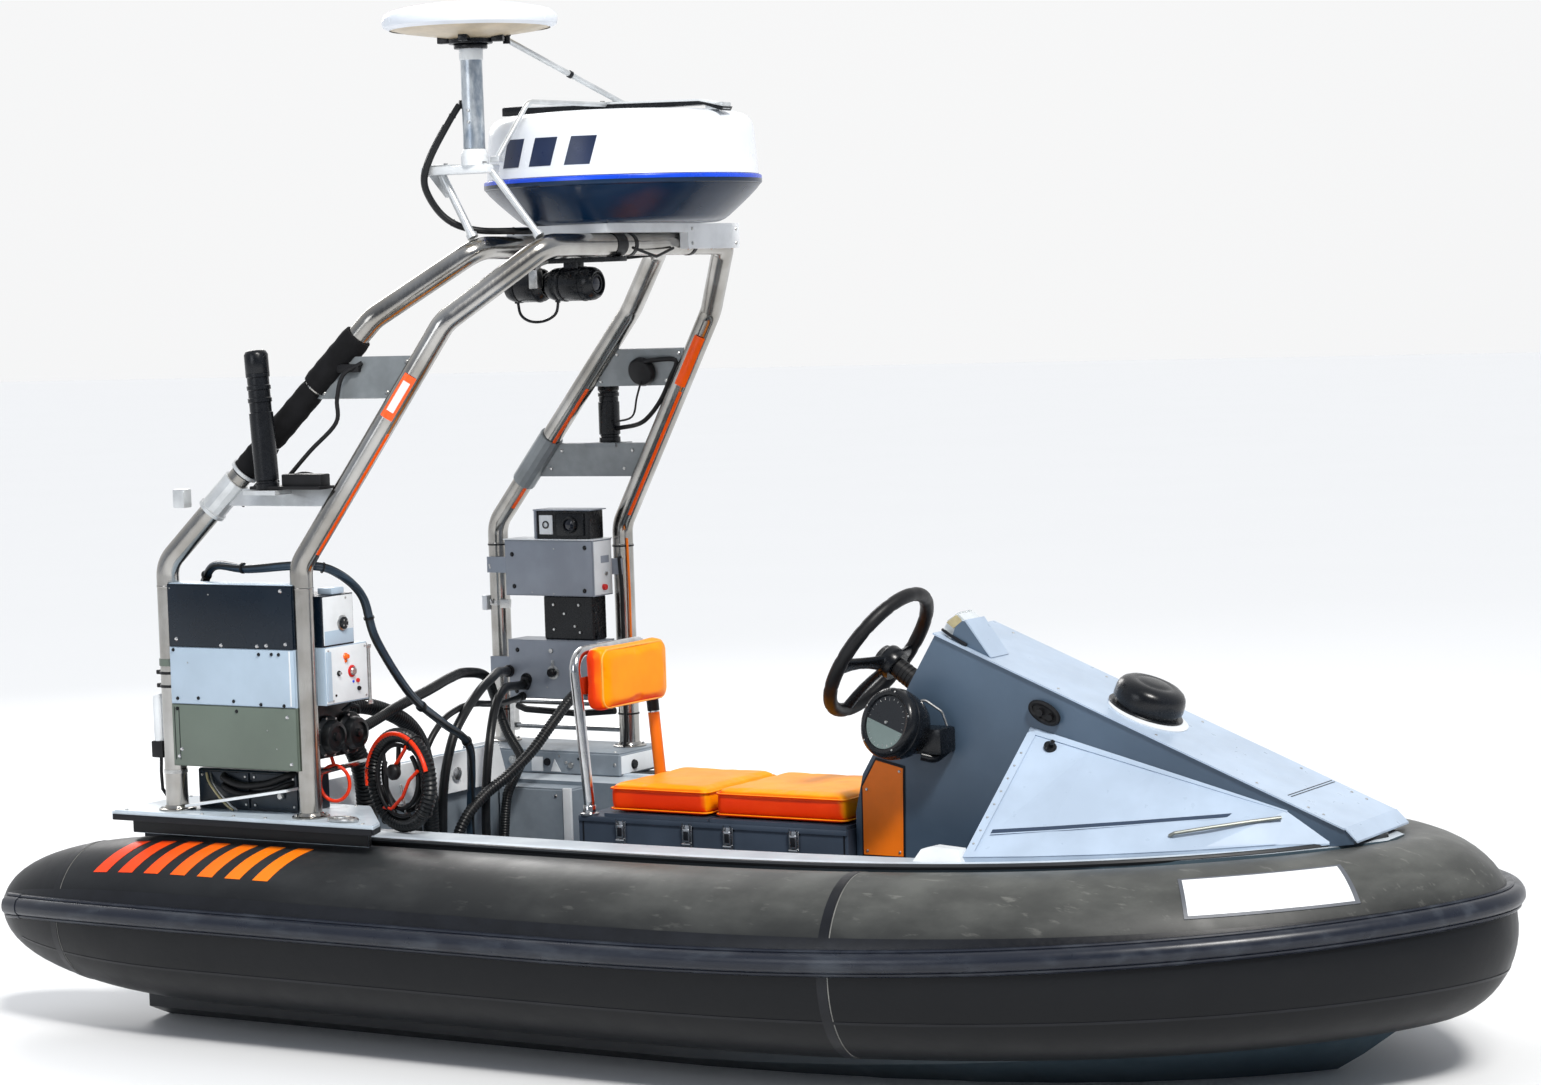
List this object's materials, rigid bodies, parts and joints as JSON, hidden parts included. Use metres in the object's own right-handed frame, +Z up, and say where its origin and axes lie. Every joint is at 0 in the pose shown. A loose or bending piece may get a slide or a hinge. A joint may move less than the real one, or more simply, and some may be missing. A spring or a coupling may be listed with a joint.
{
  "type": "unmanned surface vessel with rigid inflatable hull",
  "caption": "Small decked rigid inflatable boat with a tube sensor arch, radar dome, satellite antenna, equipment racks, helm console, orange seat and jet drive.",
  "frame": {"origin": "on the centreline, amidships, in the plane of the waterline at rest", "axes": "+X towards the bow, +Y to port, +Z up"},
  "size_m": [3.4356, 1.6756, 2.4953],
  "materials": {
    "hull_paint": "satin dark blue-grey paint",
    "collar_rubber": "coated fabric, low sheen",
    "strake_rubber": "smooth moulded rubber",
    "deck_paint": "satin white-grey paint",
    "blue_grey_paint": "satin blue-grey paint",
    "pale_blue_paint": "satin pale blue paint",
    "orange_vinyl": "smooth orange vinyl",
    "black_plastic": "black moulded plastic",
    "stainless": "polished stainless tube",
    "aluminium": "bare satin aluminium",
    "box_grey": "satin grey paint",
    "box_white": "satin white paint",
    "box_dark": "dark satin paint",
    "box_green": "grey-green satin paint",
    "white_gelcoat": "glossy white moulding",
    "lamp_lens": "clear lens",
    "cast_metal": "painted casting",
    "cable_black": "black cable sheath",
    "hose_black": "black reinforced hose"
  },
  "bodies": {
    "boat": {"antenna_disc": "white_gelcoat", "antenna_mast": "aluminium", "arch_bracket_port": "aluminium", "arch_bracket_starboard": "aluminium", "arch_hoop_aft": "stainless", "arch_hoop_fore": "stainless", "arch_plate_port": "box_grey", "arch_plate_starboard": "box_grey", "backrest_cushion": "orange_vinyl", "backrest_frame": "stainless", "beacon_port": "black_plastic", "beacon_starboard": "black_plastic", "bow_lamp": "lamp_lens", "bracket_compass": "black_plastic", "camera_pair": "black_plastic", "coil_rod": "stainless", "collar": "collar_rubber", "console_hood": "blue_grey_paint", "engine_block": "cast_metal", "foot_box_port": "deck_paint", "foredeck_port": "pale_blue_paint", "foredeck_starboard": "pale_blue_paint", "hose_arch": "hose_black", "hose_coil": "hose_black", "hose_port": "hose_black", "hull": "hull_paint", "jet_housing": "aluminium", "junction_box": "box_dark", "mast_cables": "cable_black", "port_rack_camera": "black_plastic", "port_rack_lower": "box_grey", "port_rack_relay": "black_plastic", "port_rack_upper": "box_grey", "port_rails": "stainless", "port_step": "deck_paint", "pump_duct": "hose_black", "pump_unit": "black_plastic", "rack_harness": "cable_black", "radome": "white_gelcoat", "radome_brace": "aluminium", "radome_plate": "box_white", "rub_strake": "strake_rubber", "seat_locker": "blue_grey_paint", "side_deck_starboard": "deck_paint", "starboard_rack_lower": "box_green", "starboard_rack_middle": "pale_blue_paint", "starboard_rack_upper": "box_dark", "steering_column": "black_plastic", "vent_cowl": "black_plastic"},
    "steering_wheel": {"steering_wheel": "black_plastic"},
    "steering_nozzle": {"steering_nozzle": "aluminium"},
    "reverse_bucket": {"reverse_bucket": "aluminium"},
    "aft_seat": {"seat_lid_aft": "blue_grey_paint", "seat_cushion_aft": "orange_vinyl"},
    "fore_seat": {"seat_lid_fore": "blue_grey_paint", "seat_cushion_fore": "orange_vinyl"},
    "engine_cover": {"engine_cover": "deck_paint"}
  },
  "joints": [
    {"name": "steering_wheel_turn", "type": "hinge", "parent": "boat", "child": "steering_wheel", "pos_m": [0.268, 0, 0.834], "axis": [-0.8241, 0, 0.5664], "range_deg": [-450, 450]},
    {"name": "nozzle_steer", "type": "hinge", "parent": "boat", "child": "steering_nozzle", "pos_m": [-1.5, 0, -0.02], "axis": [0, 0, 1], "range_deg": [-25, 25]},
    {"name": "bucket_lower", "type": "hinge", "parent": "steering_nozzle", "child": "reverse_bucket", "pos_m": [-1.545, 0, -0.02], "axis": [0, -1, 0], "range_deg": [0, 75]},
    {"name": "aft_seat_open", "type": "hinge", "parent": "boat", "child": "aft_seat", "pos_m": [-0.36, 0.165, 0.4643], "axis": [-1, 0, 0], "range_deg": [0, 95]},
    {"name": "fore_seat_open", "type": "hinge", "parent": "boat", "child": "fore_seat", "pos_m": [-0.08, 0.165, 0.4643], "axis": [-1, 0, 0], "range_deg": [0, 28]},
    {"name": "engine_cover_open", "type": "hinge", "parent": "boat", "child": "engine_cover", "pos_m": [-1.365, 0, 0.4483], "axis": [0, -1, 0], "range_deg": [0, 75]}
  ],
  "couplings": [
    {"joint": "nozzle_steer", "follows": "steering_wheel_turn", "ratio": 0.055556}
  ]
}
